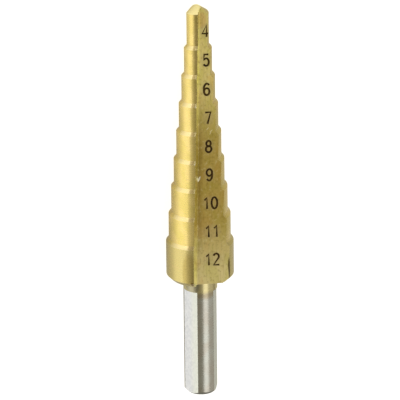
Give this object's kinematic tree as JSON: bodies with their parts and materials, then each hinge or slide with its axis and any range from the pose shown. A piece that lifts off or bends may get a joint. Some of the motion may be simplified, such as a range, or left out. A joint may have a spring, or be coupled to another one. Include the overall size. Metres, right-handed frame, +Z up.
{
  "type": "step drill",
  "caption": "Straight-fluted step drill: a gold-coated cone of stepped cutting diameters on a ground shank with flats, for drilling and widening holes in sheet metal.",
  "frame": {"origin": "centre of the bottom of the bounding box, on the surface that the tool lies on", "axes": "+Y along the tool towards its point, +Z up; the tool lies on the edges of its lower flute, and the numbered flute faces up"},
  "size_m": [0.012, 0.0732, 0.0104],
  "materials": {
    "coated_tool_steel": "ground high-speed steel, gold nitride coating on the cone, bare shank"
  },
  "bodies": {
    "root": {"step_drill": "coated_tool_steel"}
  },
  "joints": []
}
